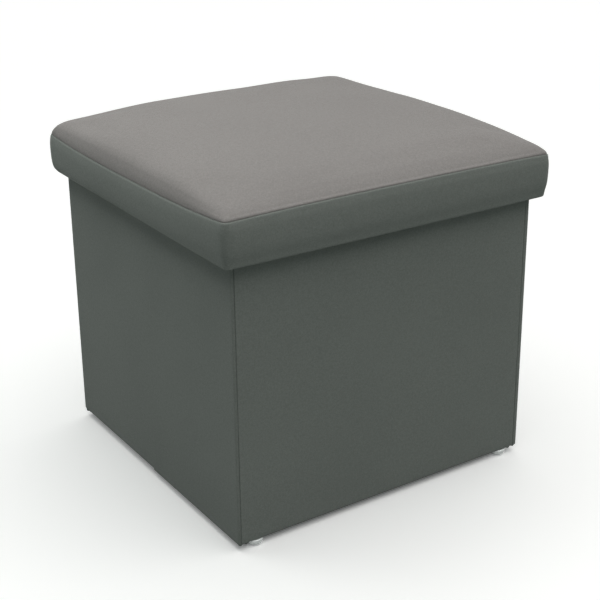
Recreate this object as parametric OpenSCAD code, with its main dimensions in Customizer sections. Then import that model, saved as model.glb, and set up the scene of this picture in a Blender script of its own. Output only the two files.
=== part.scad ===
// Storage ottoman: a fold-flat box of padded walls, a swing-out base board and a lift-off cushioned lid.
// Millimetres. The floor is z = 0 and the origin is the middle of the plan. The front faces -Y.

/* [Box] */
// Width of the box over its side walls
body_w = 356; // [352:1:480]
// Depth of the box over its front and back walls
body_d = 350; // [300:1:352]
// Height of the walls, without the feet
wall_h = 300; // [200:1:420]
// How much shorter the rear half of each side wall is at its bottom edge
rear_half_lift = 2; // [0:0.5:6]

/* [Wall make-up] */
// Thickness of the board in each wall
board_t = 12; // [9:0.5:18]
// Thickness of the outer cloth with its backing
cover_t = 1.5; // [0.8:0.1:2.5]
// Thickness of the lining cloth
lining_t = 1.2; // [0.6:0.1:2]
// Room around a board inside its cloth
board_room = 0.25; // [0.1:0.05:0.5]
// Room around a lining inside the turned-in edge of the cover
lining_room = 0.3; // [0.1:0.05:0.5]
// Radius of the upright edges at the four corners of the box
edge_r = 3; // [1:0.5:6]

/* [Fold] */
// Gap between a side wall and the inner face of the front or back wall
corner_gap = 0.8; // [0.5:0.1:2]
// Gap between the two halves of a side wall
crease_gap = 0.6; // [0.4:0.1:2]

/* [Feet] */
// Height of a foot under its wall
foot_h = 7.5; // [5:0.5:14]
// Diameter of a foot
foot_d = 18; // [10:0.5:20]
// Diameter of the flat spot that a foot stands on
foot_spot_d = 7; // [4:0.5:8]
// Height of the straight rim of a foot, next to its wall
foot_rim_h = 2; // [1:0.5:4]
// Distance from the end of the wall to the middle of a foot
foot_inset = 21.5; // [12:0.5:60]
// Diameter of the nail in a foot
nail_d = 2.2; // [1.6:0.1:3]
// Length of the nail in the board
nail_grip = 12; // [8:1:25]
// Length of the nail in the foot
nail_seat = 5; // [3:0.5:6]
// Length of the nail's point
nail_point = 3; // [1:0.5:5]
// Room around the nail in its holes
nail_room = 0.05; // [0.02:0.01:0.1]

/* [Base board] */
// Thickness of the base board
base_board_t = 4.8; // [3:0.1:9]
// Thickness of the cloth over the base board
base_cover_t = 1; // [0.6:0.1:2]
// Room around the base board under its cloth
base_room = 0.2; // [0.1:0.05:0.4]
// Gap between the base and each side wall
base_side_gap = 3; // [2.5:0.5:8]
// Gap between the base and the front wall
base_front_gap = 3; // [2:0.1:6]
// Gap between the base and the back wall
base_rear_gap = 3.5; // [3:0.5:8]
// Thickness of the hinge tape
tape_t = 0.8; // [0.5:0.1:1.2]
// Length of the hinge tape along the back wall
tape_w = 260; // [100:5:280]
// How far the tape reaches under the base board
tape_lap = 25; // [12:1:60]
// Gap between the tape and what lies above it
tape_gap = 0.2; // [0.1:0.05:0.3]
// How far the tape's fold line stands outside the back wall
tape_stand_off = 0.7; // [0.6:0.1:1.5]
// Length of the hook-and-loop strips
catch_w = 120; // [40:5:200]
// Height of the hook-and-loop strips
catch_h = 5; // [3:0.5:6]
// Gap between the hook strip and the loop strip
catch_gap = 0.3; // [0.2:0.1:0.5]
// Width of the pull ribbon on the base
ribbon_w = 20; // [10:1:40]
// Length of the pull ribbon
ribbon_l = 70; // [30:1:120]
// Thickness of the pull ribbon
ribbon_t = 0.8; // [0.5:0.1:1.5]
// Distance from the base's front edge to the ribbon
ribbon_inset = 12; // [4:1:40]

/* [Lid] */
// Depth that the lid comes down over the walls
lid_drop = 13; // [10:0.5:40]
// Height of the side band, from the lid's bottom edge to its seam
band_h = 44.5; // [36:0.5:80]
// Height of the crown above the seam
crown_h = 27; // [8:0.5:45]
// Distance over which the crown rises from the edge
crown_run = 60; // [20:1:120]
// Radius of the lid's corners in plan
lid_corner_r = 8; // [6:0.5:24]
// Thickness of the cloth of the band and the top panel
lid_cloth_t = 1.5; // [0.8:0.1:2.5]
// Thickness of the cloth turned in under the rim
wrap_t = 1; // [0.5:0.1:1.5]
// Thickness of the padding around the rim
side_pad_t = 4.2; // [0.8:0.1:6]
// Room between the cushion and its cloth
foam_room = 0.2; // [0.1:0.05:0.5]
// Thickness of the rim strips
rim_t = 6; // [4:0.5:12]
// Rebate along the rim's lower outer edge, which lets the cloth turn under in a round
rim_ease = 3.5; // [0.5:0.5:3.5]
// Height of the padding's lower edge above the rim's lower edge
pad_lift = 5; // [0:0.5:10]
// Thickness of the lid's board
lid_board_t = 9; // [6:0.5:15]
// Thickness of the liner under the lid's board
liner_t = 1; // [0.5:0.1:2]
// Room around the walls inside the rim
pocket_room = 2.3; // [2:0.1:4]
// Gap between the liner and the tops of the walls
seat_gap = 0.3; // [0.2:0.05:0.5]

/* [Staples] */
// Length of a staple's crown
staple_w = 10; // [6:0.5:14]
// Thickness of the staple wire
staple_t = 0.6; // [0.4:0.1:1]
// Depth that a staple's legs go in
staple_depth = 6; // [3:0.5:8]
// Number of staples along each edge of the liner
staples_per_edge = 6; // [3:1:12]
// Distance from the inner faces of the walls to the staples
staple_inset = 6; // [3:0.5:20]

/* [Hidden] */

$fn = 96;
HULL_FN = 32;
CROWN_STEPS = 6;
CUT = 1;

// Walls
wall_t = cover_t + 2 * board_room + board_t + lining_t;
wall_top = foot_h + wall_h;
inner_x = body_w / 2 - wall_t;
inner_y = body_d / 2 - wall_t;
half_end = inner_y - corner_gap;
half_start = crease_gap / 2;
half_l = half_end - half_start;
half_mid = (half_start + half_end) / 2;
board_inset = cover_t + board_room;
lining_inset = cover_t + lining_room;
foot_x = body_w / 2 - foot_inset;

// Base
base_w = 2 * (inner_x - base_side_gap);
base_front = -inner_y + base_front_gap;
base_rear = inner_y - base_rear_gap;
base_l = base_rear - base_front;
base_t = base_board_t + base_room + base_cover_t;
base_inset = base_cover_t + base_room;
catch_t = (base_front_gap - catch_gap) / 2;
catch_z = foot_h + (base_t - catch_h) / 2;

// Lid
lid_overhang = pocket_room + wrap_t + rim_t + side_pad_t + lid_cloth_t;
lid_w = body_w + 2 * lid_overhang;
lid_d = body_d + 2 * lid_overhang;
lid_bottom = wall_top - lid_drop;
rim_bottom = lid_bottom + wrap_t;
liner_z = wall_top + seat_gap;
lid_board_z = liner_z + liner_t;
lid_foam_z = lid_board_z + lid_board_t;
seam_z = lid_bottom + band_h;
pocket_w = body_w + 2 * pocket_room;
pocket_d = body_d + 2 * pocket_room;
wrap_w = pocket_w + 2 * wrap_t;
wrap_d = pocket_d + 2 * wrap_t;
board_edge = lid_cloth_t + side_pad_t;
foam_edge = lid_cloth_t + foam_room;
crown_slab_t = 0.2;
min_corner_r = 0.5;
rim_y = wrap_d / 2;
rim_x = wrap_w / 2;

CLOTH = [0.36, 0.36, 0.35];
LINING = [0.13, 0.13, 0.14];
WOOD = [0.68, 0.55, 0.40];
FOAM = [0.90, 0.86, 0.72];
FOOT = [0.80, 0.80, 0.78];
STEEL = [0.62, 0.63, 0.65];
TAPE = [0.09, 0.09, 0.10];

// A panel lies along X with its outer face at y = 0, its inner face at y = wall_t and its bottom at z = 0.
module panel_outline(length, round_r) {
    if (round_r > 0) {
        translate([-length / 2, round_r]) square([length, wall_t - round_r]);
        translate([-length / 2 + round_r, 0]) square([length - 2 * round_r, wall_t]);
        for (side = [-1, 1]) translate([side * (length / 2 - round_r), round_r]) circle(round_r);
    } else {
        translate([-length / 2, 0]) square([length, wall_t]);
    }
}

// Outer cloth: the face and the four edges turned in as far as the lining.
module panel_cover(length, height, round_r) {
    difference() {
        linear_extrude(height) panel_outline(length, round_r);
        translate([-length / 2 + cover_t, cover_t, cover_t])
            cube([length - 2 * cover_t, wall_t, height - 2 * cover_t]);
    }
}

module panel_board(length, height) {
    translate([-length / 2 + board_inset, board_inset, board_inset])
        cube([length - 2 * board_inset, board_t, height - 2 * board_inset]);
}

module panel_lining(length, height) {
    translate([-length / 2 + lining_inset, wall_t - lining_t, lining_inset])
        cube([length - 2 * lining_inset, lining_t, height - 2 * lining_inset]);
}

// Places of the walls
module at_front() {
    translate([0, -body_d / 2, foot_h]) children();
}

module at_back() {
    rotate(180) at_front() children();
}

// side is -1 for the left wall and 1 for the right, end is -1 for the front half and 1 for the rear
module at_half(side, end) {
    translate([side * body_w / 2, end * half_mid, foot_h + half_lift(end)]) rotate(side * 90) children();
}

function half_lift(end) = end > 0 ? rear_half_lift : 0;
function half_h(end) = wall_h - half_lift(end);

// Feet and nails under a wall that runs along X
module at_feet() {
    for (side = [-1, 1]) translate([side * foot_x, wall_t / 2, 0]) children();
}

module nail_hole(length) {
    cylinder(h = length, d = nail_d + 2 * nail_room);
}

module wall_with_feet_board() {
    difference() {
        panel_board(body_w, wall_h);
        at_feet() translate([0, 0, -CUT]) nail_hole(CUT + board_inset + nail_grip + nail_room);
    }
}

module wall_with_feet_cover() {
    difference() {
        panel_cover(body_w, wall_h, edge_r);
        at_feet() translate([0, 0, -CUT]) nail_hole(2 * CUT + cover_t);
    }
}

module foot() {
    dome_h = foot_h - foot_rim_h;
    dome_run = (foot_d - foot_spot_d) / 2;
    translate([0, 0, -foot_h]) difference() {
        rotate_extrude() polygon(concat([[0, 0]],
            [for (a = [0:10:90]) [foot_spot_d / 2 + dome_run * sin(a), dome_h * (1 - cos(a))]],
            [[foot_d / 2, foot_h], [0, foot_h]]));
        translate([0, 0, foot_h - nail_seat - nail_room]) nail_hole(nail_seat + nail_room + CUT);
    }
}

module nail() {
    reach = board_inset + nail_grip;
    rotate_extrude() polygon([[0, -nail_seat], [nail_d / 2, -nail_seat],
        [nail_d / 2, reach - nail_point], [0, reach]]);
}

// Back wall, the fixed one
module back_board() {
    color(WOOD) at_back() wall_with_feet_board();
}

module back_cover() {
    color(CLOTH) at_back() wall_with_feet_cover();
}

module back_lining() {
    color(LINING) at_back() panel_lining(body_w, wall_h);
}

module back_feet() {
    color(FOOT) at_back() at_feet() foot();
}

module back_foot_nails() {
    color(STEEL) at_back() at_feet() nail();
}

// Front wall
module front_board() {
    color(WOOD) at_front() wall_with_feet_board();
}

module front_cover() {
    color(CLOTH) at_front() wall_with_feet_cover();
}

module front_lining() {
    color(LINING) at_front() panel_lining(body_w, wall_h);
}

module front_feet() {
    color(FOOT) at_front() at_feet() foot();
}

module front_foot_nails() {
    color(STEEL) at_front() at_feet() nail();
}

module front_catch_strip() {
    color(TAPE) translate([-catch_w / 2, -inner_y, catch_z]) cube([catch_w, catch_t, catch_h]);
}

// Halves of the side walls
module half_board(side, end) {
    color(WOOD) at_half(side, end) panel_board(half_l, half_h(end));
}

module half_cover(side, end) {
    color(CLOTH) at_half(side, end) panel_cover(half_l, half_h(end), 0);
}

module half_lining(side, end) {
    color(LINING) at_half(side, end) panel_lining(half_l, half_h(end));
}

// Base: a cloth-topped board on a tape hinge along the back wall's outer bottom edge
module base_board() {
    color(WOOD) translate([-base_w / 2 + base_inset, base_front + base_inset, foot_h])
        cube([base_w - 2 * base_inset, base_l - 2 * base_inset, base_board_t]);
}

module base_cover() {
    color(LINING) translate([-base_w / 2, base_front, foot_h]) difference() {
        cube([base_w, base_l, base_t]);
        translate([base_cover_t, base_cover_t, -CUT])
            cube([base_w - 2 * base_cover_t, base_l - 2 * base_cover_t, CUT + base_t - base_cover_t]);
    }
}

module base_hinge_tape() {
    tape_l = body_d / 2 + tape_stand_off - base_rear + tape_lap;
    color(TAPE) translate([-tape_w / 2, base_rear - tape_lap, foot_h - tape_gap - tape_t])
        cube([tape_w, tape_l, tape_t]);
}

module base_catch_strip() {
    color(TAPE) translate([-catch_w / 2, base_front - catch_t, catch_z]) cube([catch_w, catch_t, catch_h]);
}

module base_pull_ribbon() {
    color(TAPE) translate([-ribbon_w / 2, base_front + ribbon_inset, foot_h + base_t])
        cube([ribbon_w, ribbon_l, ribbon_t]);
}

// Lid
module lid_outline(inset) {
    w = lid_w - 2 * inset;
    d = lid_d - 2 * inset;
    r = max(lid_corner_r - inset, min_corner_r);
    square([w - 2 * r, d], center = true);
    square([w, d - 2 * r], center = true);
    for (x = [-1, 1], y = [-1, 1]) translate([x * (w / 2 - r), y * (d / 2 - r)]) circle(r);
}

module lid_prism(inset, z, height) {
    translate([0, 0, z]) linear_extrude(height) lid_outline(inset);
}

module centred_prism(w, d, z, height) {
    translate([-w / 2, -d / 2, z]) cube([w, d, height]);
}

// The crown rises steeply at the edge and levels out towards the middle
module crown(inset, height) {
    hull() for (i = [0:CROWN_STEPS]) {
        a = 90 * i / CROWN_STEPS;
        rise = (height - crown_slab_t) * sin(a);
        translate([0, 0, seam_z + rise]) linear_extrude(crown_slab_t)
            lid_slab_outline(inset + crown_run * (1 - cos(a)));
    }
}

module lid_slab_outline(inset) {
    r = lid_corner_r;
    square_w = lid_w - 2 * (inset + r);
    square_d = lid_d - 2 * (inset + r);
    for (x = [-1, 1], y = [-1, 1]) translate([x * square_w / 2, y * square_d / 2]) circle(r, $fn = HULL_FN);
}

module lid_board() {
    color(WOOD) lid_prism(board_edge, lid_board_z, lid_board_t);
}

// The four rim strips hang under the board's edge, the front and back ones over the full width
module rim_ring() {
    difference() {
        union() {
            lid_prism(board_edge + rim_ease, rim_bottom, rim_ease);
            lid_prism(board_edge, rim_bottom + rim_ease, lid_board_z - rim_bottom - rim_ease);
        }
        centred_prism(wrap_w, wrap_d, rim_bottom - CUT, lid_board_z - rim_bottom + 2 * CUT);
    }
}

module lid_rim_cross(end) {
    color(WOOD) intersection() {
        rim_ring();
        translate([-lid_w / 2, end > 0 ? rim_y : -lid_d / 2, rim_bottom])
            cube([lid_w, lid_d / 2 - rim_y, lid_drop * 2]);
    }
}

module lid_rim_side(side) {
    color(WOOD) intersection() {
        rim_ring();
        translate([side > 0 ? rim_x : -lid_w / 2, -rim_y, rim_bottom])
            cube([lid_w / 2 - rim_x, 2 * rim_y, lid_drop * 2]);
    }
}

module lid_side_padding() {
    pad_z = rim_bottom + pad_lift;
    color(FOAM) difference() {
        lid_prism(foam_edge, pad_z, lid_foam_z - pad_z);
        lid_prism(board_edge, pad_z - CUT, lid_foam_z - pad_z + 2 * CUT);
    }
}

module lid_foam() {
    color(FOAM) {
        lid_prism(foam_edge, lid_foam_z, seam_z - lid_foam_z);
        crown(foam_edge, crown_h - foam_edge);
    }
}

// The band goes down the side, under the rim and up inside it
module lid_band() {
    color(CLOTH) difference() {
        lid_prism(0, lid_bottom, band_h);
        difference() {
            lid_prism(lid_cloth_t, rim_bottom, band_h);
            centred_prism(wrap_w, wrap_d, lid_bottom, lid_board_z - lid_bottom);
        }
        centred_prism(pocket_w, pocket_d, lid_bottom - CUT, band_h + 2 * CUT);
    }
}

module lid_top_panel() {
    color(CLOTH) difference() {
        crown(0, crown_h);
        crown(lid_cloth_t, crown_h - lid_cloth_t);
        lid_prism(lid_cloth_t, seam_z - CUT, CUT + crown_slab_t);
    }
}

module lid_liner() {
    color(LINING) centred_prism(pocket_w - 2 * lining_room, pocket_d - 2 * lining_room, liner_z, liner_t);
}

module staple() {
    translate([-staple_w / 2, -staple_t / 2, -staple_t / 2]) cube([staple_w, staple_t, staple_t / 2]);
    for (side = [-1, 1]) translate([side * (staple_w - staple_t) / 2 - staple_t / 2, -staple_t / 2, -staple_t / 2])
        cube([staple_t, staple_t, staple_depth + staple_t / 2]);
}

module staple_row(length) {
    step = length / staples_per_edge;
    for (i = [0:staples_per_edge - 1]) translate([(i + 0.5) * step - length / 2, 0, 0]) staple();
}

module lid_staples() {
    x = inner_x - staple_inset;
    y = inner_y - staple_inset;
    color(STEEL) translate([0, 0, liner_z]) for (side = [-1, 1]) {
        translate([0, side * y, 0]) staple_row(2 * x);
        translate([side * x, 0, 0]) rotate(90) staple_row(2 * y);
    }
}

back_board();
back_cover();
back_lining();
back_feet();
back_foot_nails();
half_board(-1, 1);  // left_rear_board
half_cover(-1, 1);  // left_rear_cover
half_lining(-1, 1);  // left_rear_lining
half_board(-1, -1);  // left_front_board
half_cover(-1, -1);  // left_front_cover
half_lining(-1, -1);  // left_front_lining
half_board(1, 1);  // right_rear_board
half_cover(1, 1);  // right_rear_cover
half_lining(1, 1);  // right_rear_lining
half_board(1, -1);  // right_front_board
half_cover(1, -1);  // right_front_cover
half_lining(1, -1);  // right_front_lining
front_board();
front_cover();
front_lining();
front_feet();
front_foot_nails();
front_catch_strip();
base_board();
base_cover();
base_hinge_tape();
base_catch_strip();
base_pull_ribbon();
lid_board();
lid_rim_cross(-1);  // lid_rim_front
lid_rim_cross(1);  // lid_rim_back
lid_rim_side(-1);  // lid_rim_left
lid_rim_side(1);  // lid_rim_right
lid_side_padding();
lid_foam();
lid_band();
lid_top_panel();
lid_liner();
lid_staples();
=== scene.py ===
"""Storage ottoman: cloth, cushion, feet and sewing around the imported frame. Metres, front towards -Y."""

import math
import random

import bpy
import numpy as np
from mathutils import Matrix, Vector


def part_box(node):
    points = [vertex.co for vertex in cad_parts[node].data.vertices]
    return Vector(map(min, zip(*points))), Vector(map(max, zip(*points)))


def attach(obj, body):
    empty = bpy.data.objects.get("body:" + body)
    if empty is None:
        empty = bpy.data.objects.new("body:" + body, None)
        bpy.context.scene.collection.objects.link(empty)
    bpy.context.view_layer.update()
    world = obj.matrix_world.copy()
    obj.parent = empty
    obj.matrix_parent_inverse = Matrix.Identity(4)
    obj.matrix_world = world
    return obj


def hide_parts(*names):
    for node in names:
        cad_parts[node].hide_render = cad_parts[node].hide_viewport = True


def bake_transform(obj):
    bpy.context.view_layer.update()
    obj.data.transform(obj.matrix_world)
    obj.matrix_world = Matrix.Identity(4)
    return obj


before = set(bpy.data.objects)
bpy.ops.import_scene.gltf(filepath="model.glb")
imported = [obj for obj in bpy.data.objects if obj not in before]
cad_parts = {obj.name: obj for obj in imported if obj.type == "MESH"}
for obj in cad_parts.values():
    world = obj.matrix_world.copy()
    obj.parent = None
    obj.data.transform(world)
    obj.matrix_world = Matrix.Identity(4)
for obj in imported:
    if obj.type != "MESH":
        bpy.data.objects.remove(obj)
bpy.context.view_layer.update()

MM = 0.001
SEED = 11

# Cloth
CLOTH_T = 0.9 * MM
LINING_T = 0.5 * MM
SEAM_ALLOWANCE = 3 * MM

# Lid cushion
COLUMNS_PER_SIDE = 88
BAND_ROW = 3.8 * MM
BORDER_ROWS = 5
LID_EDGE_ROUND = 5.5 * MM
LID_CORNER = 8 * MM
CROWN_CORNER_GROWTH = 0.3
CROWN_RISE = 27.5 * MM
SIM_FRAMES = 18
SIM_PRESSURE = 2.0
TOP_SWELL = 2.0 * MM
BAND_SWELL = 1.0 * MM
SIM_CALM = 12
# Ridge that the allowances press up beside the seam: its height, its distance from the seam, its width
BAND_RIDGE = (0.12 * MM, 2.6 * MM, 1.8 * MM)
TOP_RIDGE = (0.35 * MM, 2.6 * MM, 1.6 * MM)
# How much thinner the wadding is than its room, in millimetres, at shares of its height
WADDING_THINNER = ((0.0, 2.0), (0.1, 0.8), (0.3, 0.2), (0.5, 0.0), (0.75, 0.0), (0.93, 0.4), (1.0, 1.4))
# How the band lies: full in the middle, drawn in at the seam, evenly further down, and at its lower edge
BAND_BELLY = 0.8 * MM
SEAM_TUCK, SEAM_TUCK_RUN = 2.8 * MM, 6 * MM
BAND_TAPER, BAND_TAPER_FROM = 0.05, 10 * MM
HEM_TURN, HEM_TURN_FROM, HEM_TURN_RUN = 2.2 * MM, 0.6, 14 * MM
# The lid's seam: its groove, the small pulls of its stitches and the gap between the two cloths
LID_GROOVE_DEPTH, LID_GROOVE_WIDTH = 0.38 * MM, 0.7 * MM
SEAM_PULL, SEAM_PULL_RUN = 0.14 * MM, 3 * MM
SEAM_GAP = 0.12 * MM
# How far the foam stays behind the cloth, and how much further at the seam
CUSHION_BACK = 1.3 * MM
SEAM_PINCH, SEAM_PINCH_RUN = 3.2 * MM, 5 * MM
LINER_OFF = 0.25 * MM
LINER_SLACK = 0.18 * MM

# Walls
EDGE_BEAD = 1.1 * MM
CORNER_ROUND = 1.8 * MM
SEAM_FROM_CORNER = 2.9 * MM
RIGHT_SEAM_FROM_CORNER = 5.4 * MM
SEAM_ROLL = 0.8 * MM
SEAM_DEPTH = 2.4 * MM
EDGE_RETURN = 2.4 * MM
FACE_STEP = 4 * MM
HEM_WIDTH = 9 * MM
SLEEVE_GAP = 0.05 * MM
POCKET_ROUND = 2 * MM
WALL_CORNER = 1.6 * MM
WALL_LOOP = 44
LINING_TUCK = 4 * MM
LINING_STEP = 5 * MM
PUCKER_AT, PUCKER_RUN = 9 * MM, 7 * MM
# A wall's cloth lies flat at its edges and at creases and corners, and slack beyond these distances
SLACK_RUN = 14 * MM
CALM_CREASE = 30 * MM
CALM_CORNER = 25 * MM
# Slack of the outer cloth, in millimetres: its long waves, its short ones and what it has all over
LONG_SLACK, SHORT_SLACK, EVEN_SLACK = 0.28, 0.07, 0.2
FINE_STEP = 0.8 * MM
SEAM_HALF_GAP = 0.25 * MM
GROOVE_STEP = 0.35 * MM
GROOVE_DEPTH = 0.9 * MM
GROOVE_WIDTH = 0.7 * MM
# Tucks at a wall's end: distance from the end, half their run and how far they hang, in millimetres
TUCKS = ((3.2, 2.6, 2.3), (10.0, 2.8, 2.7))
TUCK_BACK, TUCK_THICK = 2.6 * MM, 1.9 * MM

# What the outer cloths' cuts have beyond the wall or panel they cover
CORNER_CUT = 0.022
OPEN_END_CUT = 0.004
FRONT_RETURN_CUT = 0.02

# Feet
FOOT_STEPS = 14
FOOT_SPOT = 3.5 * MM
FOOT_RIM = 2 * MM

# Base
BASE_CORNER = 2.2 * MM
BASE_FOLD = 1.8 * MM
BASE_SKIN = 0.4 * MM
TAPE_TURN = 1.8 * MM
TAPE_UP = 20 * MM
TAPE_OFF = 0.05 * MM
RIBBON_RISE = 5 * MM

# Stitches
STITCH_PITCH = 4.2 * MM
STITCH_LENGTH = 3.3 * MM
STITCH_RADIUS = 0.28 * MM
STITCH_INSET = 6.5 * MM

# Staples
STAPLE_WIRE = 0.6 * MM
STAPLES_PER_EDGE = 6


# ---------------------------------------------------------------- meshes


def put(name, data):
    """An object in the scene, at the origin."""
    made = bpy.data.objects.new(name, data)
    bpy.context.scene.collection.objects.link(made)
    return made


def new_piece(name, points, faces):
    mesh = bpy.data.meshes.new(name)
    mesh.from_pydata([tuple(p) for p in np.asarray(points, float)], [], [tuple(f) for f in faces])
    mesh.validate()
    mesh.shade_smooth()
    return put(name, mesh)


def settle(piece):
    """Turns the piece and its modifiers into a plain mesh."""
    graph = bpy.context.evaluated_depsgraph_get()
    mesh = bpy.data.meshes.new_from_object(piece.evaluated_get(graph))
    mesh.name = piece.name
    piece.modifiers.clear()
    piece.data = mesh
    return piece


def thicken(piece, thickness, levels=0):
    """Gives a sheet its thickness under its outer surface."""
    if levels:
        smooth = piece.modifiers.new("round", "SUBSURF")
        smooth.levels = levels
        smooth.render_levels = levels
    shell = piece.modifiers.new("thickness", "SOLIDIFY")
    shell.thickness = thickness
    shell.offset = -1
    settle(piece)
    piece.data.set_sharp_from_angle(angle=math.radians(55))
    return piece


def quads(rows, columns, closed):
    """Faces of a grid of points, row after row."""
    made = []
    for r in range(rows - 1):
        here, above = r * columns, (r + 1) * columns
        for c in range(columns if closed else columns - 1):
            after = (c + 1) % columns
            made.append((here + c, here + after, above + after, above + c))
    return made


def coordinates(mesh):
    flat = np.zeros(len(mesh.vertices) * 3)
    mesh.vertices.foreach_get("co", flat)
    return flat.reshape(-1, 3)


def normals(mesh):
    flat = np.zeros(len(mesh.vertices) * 3)
    mesh.vertex_normals.foreach_get("vector", flat)
    return flat.reshape(-1, 3)


def set_coordinates(mesh, points):
    mesh.vertices.foreach_set("co", np.asarray(points, float).ravel())
    mesh.update()


class Waves:
    """A smooth random field between about -1 and 1, the same each time for one seed."""

    def __init__(self, seed, shortest, longest, count=9):
        draw = random.Random(seed)
        self.terms = []
        for _ in range(count):
            length = draw.uniform(shortest, longest)
            heading = Vector((draw.gauss(0, 1), draw.gauss(0, 1), draw.gauss(0, 1))).normalized()
            self.terms.append((np.array(heading) * 2 * math.pi / length, draw.uniform(0, 2 * math.pi)))

    def at(self, points):
        total = sum(np.sin(points @ heading + phase) for heading, phase in self.terms)
        return total / math.sqrt(len(self.terms) * 2)


# ---------------------------------------------------------------- loops and grids


def loop_side(half_length, half_out, radius, count):
    """One side of a rounded rectangle, from one corner's middle almost to the next."""
    turn = radius * math.pi / 4
    straight = 2 * (half_length - radius)
    walk = np.arange(count) / count * (2 * turn + straight)
    angle = np.minimum(walk / radius - math.pi / 4, 0) + np.maximum((walk - turn - straight) / radius, 0)
    along = np.clip(walk - turn, 0, straight) - straight / 2 + radius * np.sin(angle)
    out = half_out - radius + radius * np.cos(angle)
    return along, out


def rounded_loop(half_w, half_d, radius, per_side):
    """A rounded rectangle in plan, anticlockwise from the middle of its front left corner."""
    u, front = loop_side(half_w, half_d, radius, per_side)
    v, right = loop_side(half_d, half_w, radius, per_side)
    return np.concatenate([
        np.stack([u, -front], 1),
        np.stack([right, v], 1),
        np.stack([-u, front], 1),
        np.stack([-right, -v], 1),
    ])


def at_height(loop, height):
    return np.column_stack([loop, np.broadcast_to(height, len(loop))])


def put_ring(grid, ring, values):
    """Writes one ring of values, walked like rounded_loop, into a square grid round its middle."""
    m = grid.shape[0] // 2
    q = np.arange(2 * ring)
    parts = np.split(values, 4)
    grid[m - ring + q, m - ring] = parts[0]
    grid[m + ring, m - ring + q] = parts[1]
    grid[m + ring - q, m + ring] = parts[2]
    grid[m - ring, m + ring - q] = parts[3]


def as_rings(points, count):
    """Points inside a loop of count points, as their rings and then the middle point."""
    return np.split(points, np.cumsum([8 * ring for ring in range(count // 8 - 1, 0, -1)]))


def ring_numbers(rings, first):
    """Vertex numbers of a square grid of rings whose outermost ring is a loop that starts at number first."""
    numbers = np.full((2 * rings + 1, 2 * rings + 1), -1)
    put_ring(numbers, rings, first + np.arange(8 * rings))
    after = first + 8 * rings
    for ring in range(rings - 1, 0, -1):
        put_ring(numbers, ring, after + np.arange(8 * ring))
        after += 8 * ring
    numbers[rings, rings] = after
    return numbers


def loops_and_cap(name, loops, cap=None):
    """Skin through closed loops, closed over the last loop by rings down to a middle point."""
    count = len(loops[0])
    points = np.concatenate(loops)
    faces = quads(len(loops), count, True)
    if cap is not None:
        numbers = ring_numbers(count // 8, len(points) - count)
        points = np.concatenate([points, *cap])
        a, b, c, d = numbers[:-1, :-1], numbers[1:, :-1], numbers[1:, 1:], numbers[:-1, 1:]
        faces += [tuple(int(n) for n in f) for f in np.stack([a, b, c, d], -1).reshape(-1, 4)]
    return new_piece(name, points, faces)


def cap_rings(half_w, half_d, radius, growth, rings, height):
    """Rings inside a rounded rectangle, outermost first, then the middle point.

    height(inset, ring) gives a ring's height, and the corners' radius grows with the inset.
    """
    made = []
    for ring in range(rings - 1, 0, -1):
        share = ring / rings
        inset = half_d * (1 - share)
        corner = min(radius + growth * inset, 0.9 * half_d * share)
        loop = rounded_loop(half_w * share, half_d * share, corner, 2 * ring)
        made.append(at_height(loop, height(inset, loop)))
    made.append(np.array([[0.0, 0.0, height(half_d, np.zeros((4, 2)))[0]]]))
    return made


# ---------------------------------------------------------------- shader building


def set_inputs(tree, node, values):
    """Fills a node's inputs: a socket is linked, anything else is the input's value."""
    for name, value in values.items():
        if isinstance(value, bpy.types.NodeSocket):
            tree.links.new(value, node.inputs[name])
        else:
            node.inputs[name].default_value = value


def add_node(tree, kind, inputs=None, **settings):
    made = tree.nodes.new(kind)
    for name, value in settings.items():
        setattr(made, name, value)
    set_inputs(tree, made, inputs or {})
    return made


def maths(tree, operation, first, second=0.0, clamp=False):
    made = add_node(tree, "ShaderNodeMath", {0: first, 1: second}, operation=operation, use_clamp=clamp)
    return made.outputs[0]


def vectors(tree, operation, first, second=None, scale=None):
    inputs = {0: first}
    if second is not None:
        inputs[1] = second
    if scale is not None:
        inputs["Scale"] = scale
    made = add_node(tree, "ShaderNodeVectorMath", inputs, operation=operation)
    return made.outputs["Value" if operation == "DOT_PRODUCT" else "Vector"]


def noise(tree, place, scale, detail, output="Fac"):
    made = add_node(tree, "ShaderNodeTexNoise", {"Vector": place, "Scale": scale, "Detail": detail})
    return made.outputs[output]


def new_group(name, inputs, outputs):
    group = bpy.data.node_groups.new(name, "ShaderNodeTree")
    for label, kind, value in inputs:
        socket = group.interface.new_socket(label, in_out="INPUT", socket_type=kind)
        if value is not None:
            socket.default_value = value
    for label, kind in outputs:
        group.interface.new_socket(label, in_out="OUTPUT", socket_type=kind)
    entry = group.nodes.new("NodeGroupInput")
    leave = group.nodes.new("NodeGroupOutput")
    return group, entry, leave


VECTOR, FLOAT = "NodeSocketVector", "NodeSocketFloat"


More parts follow.
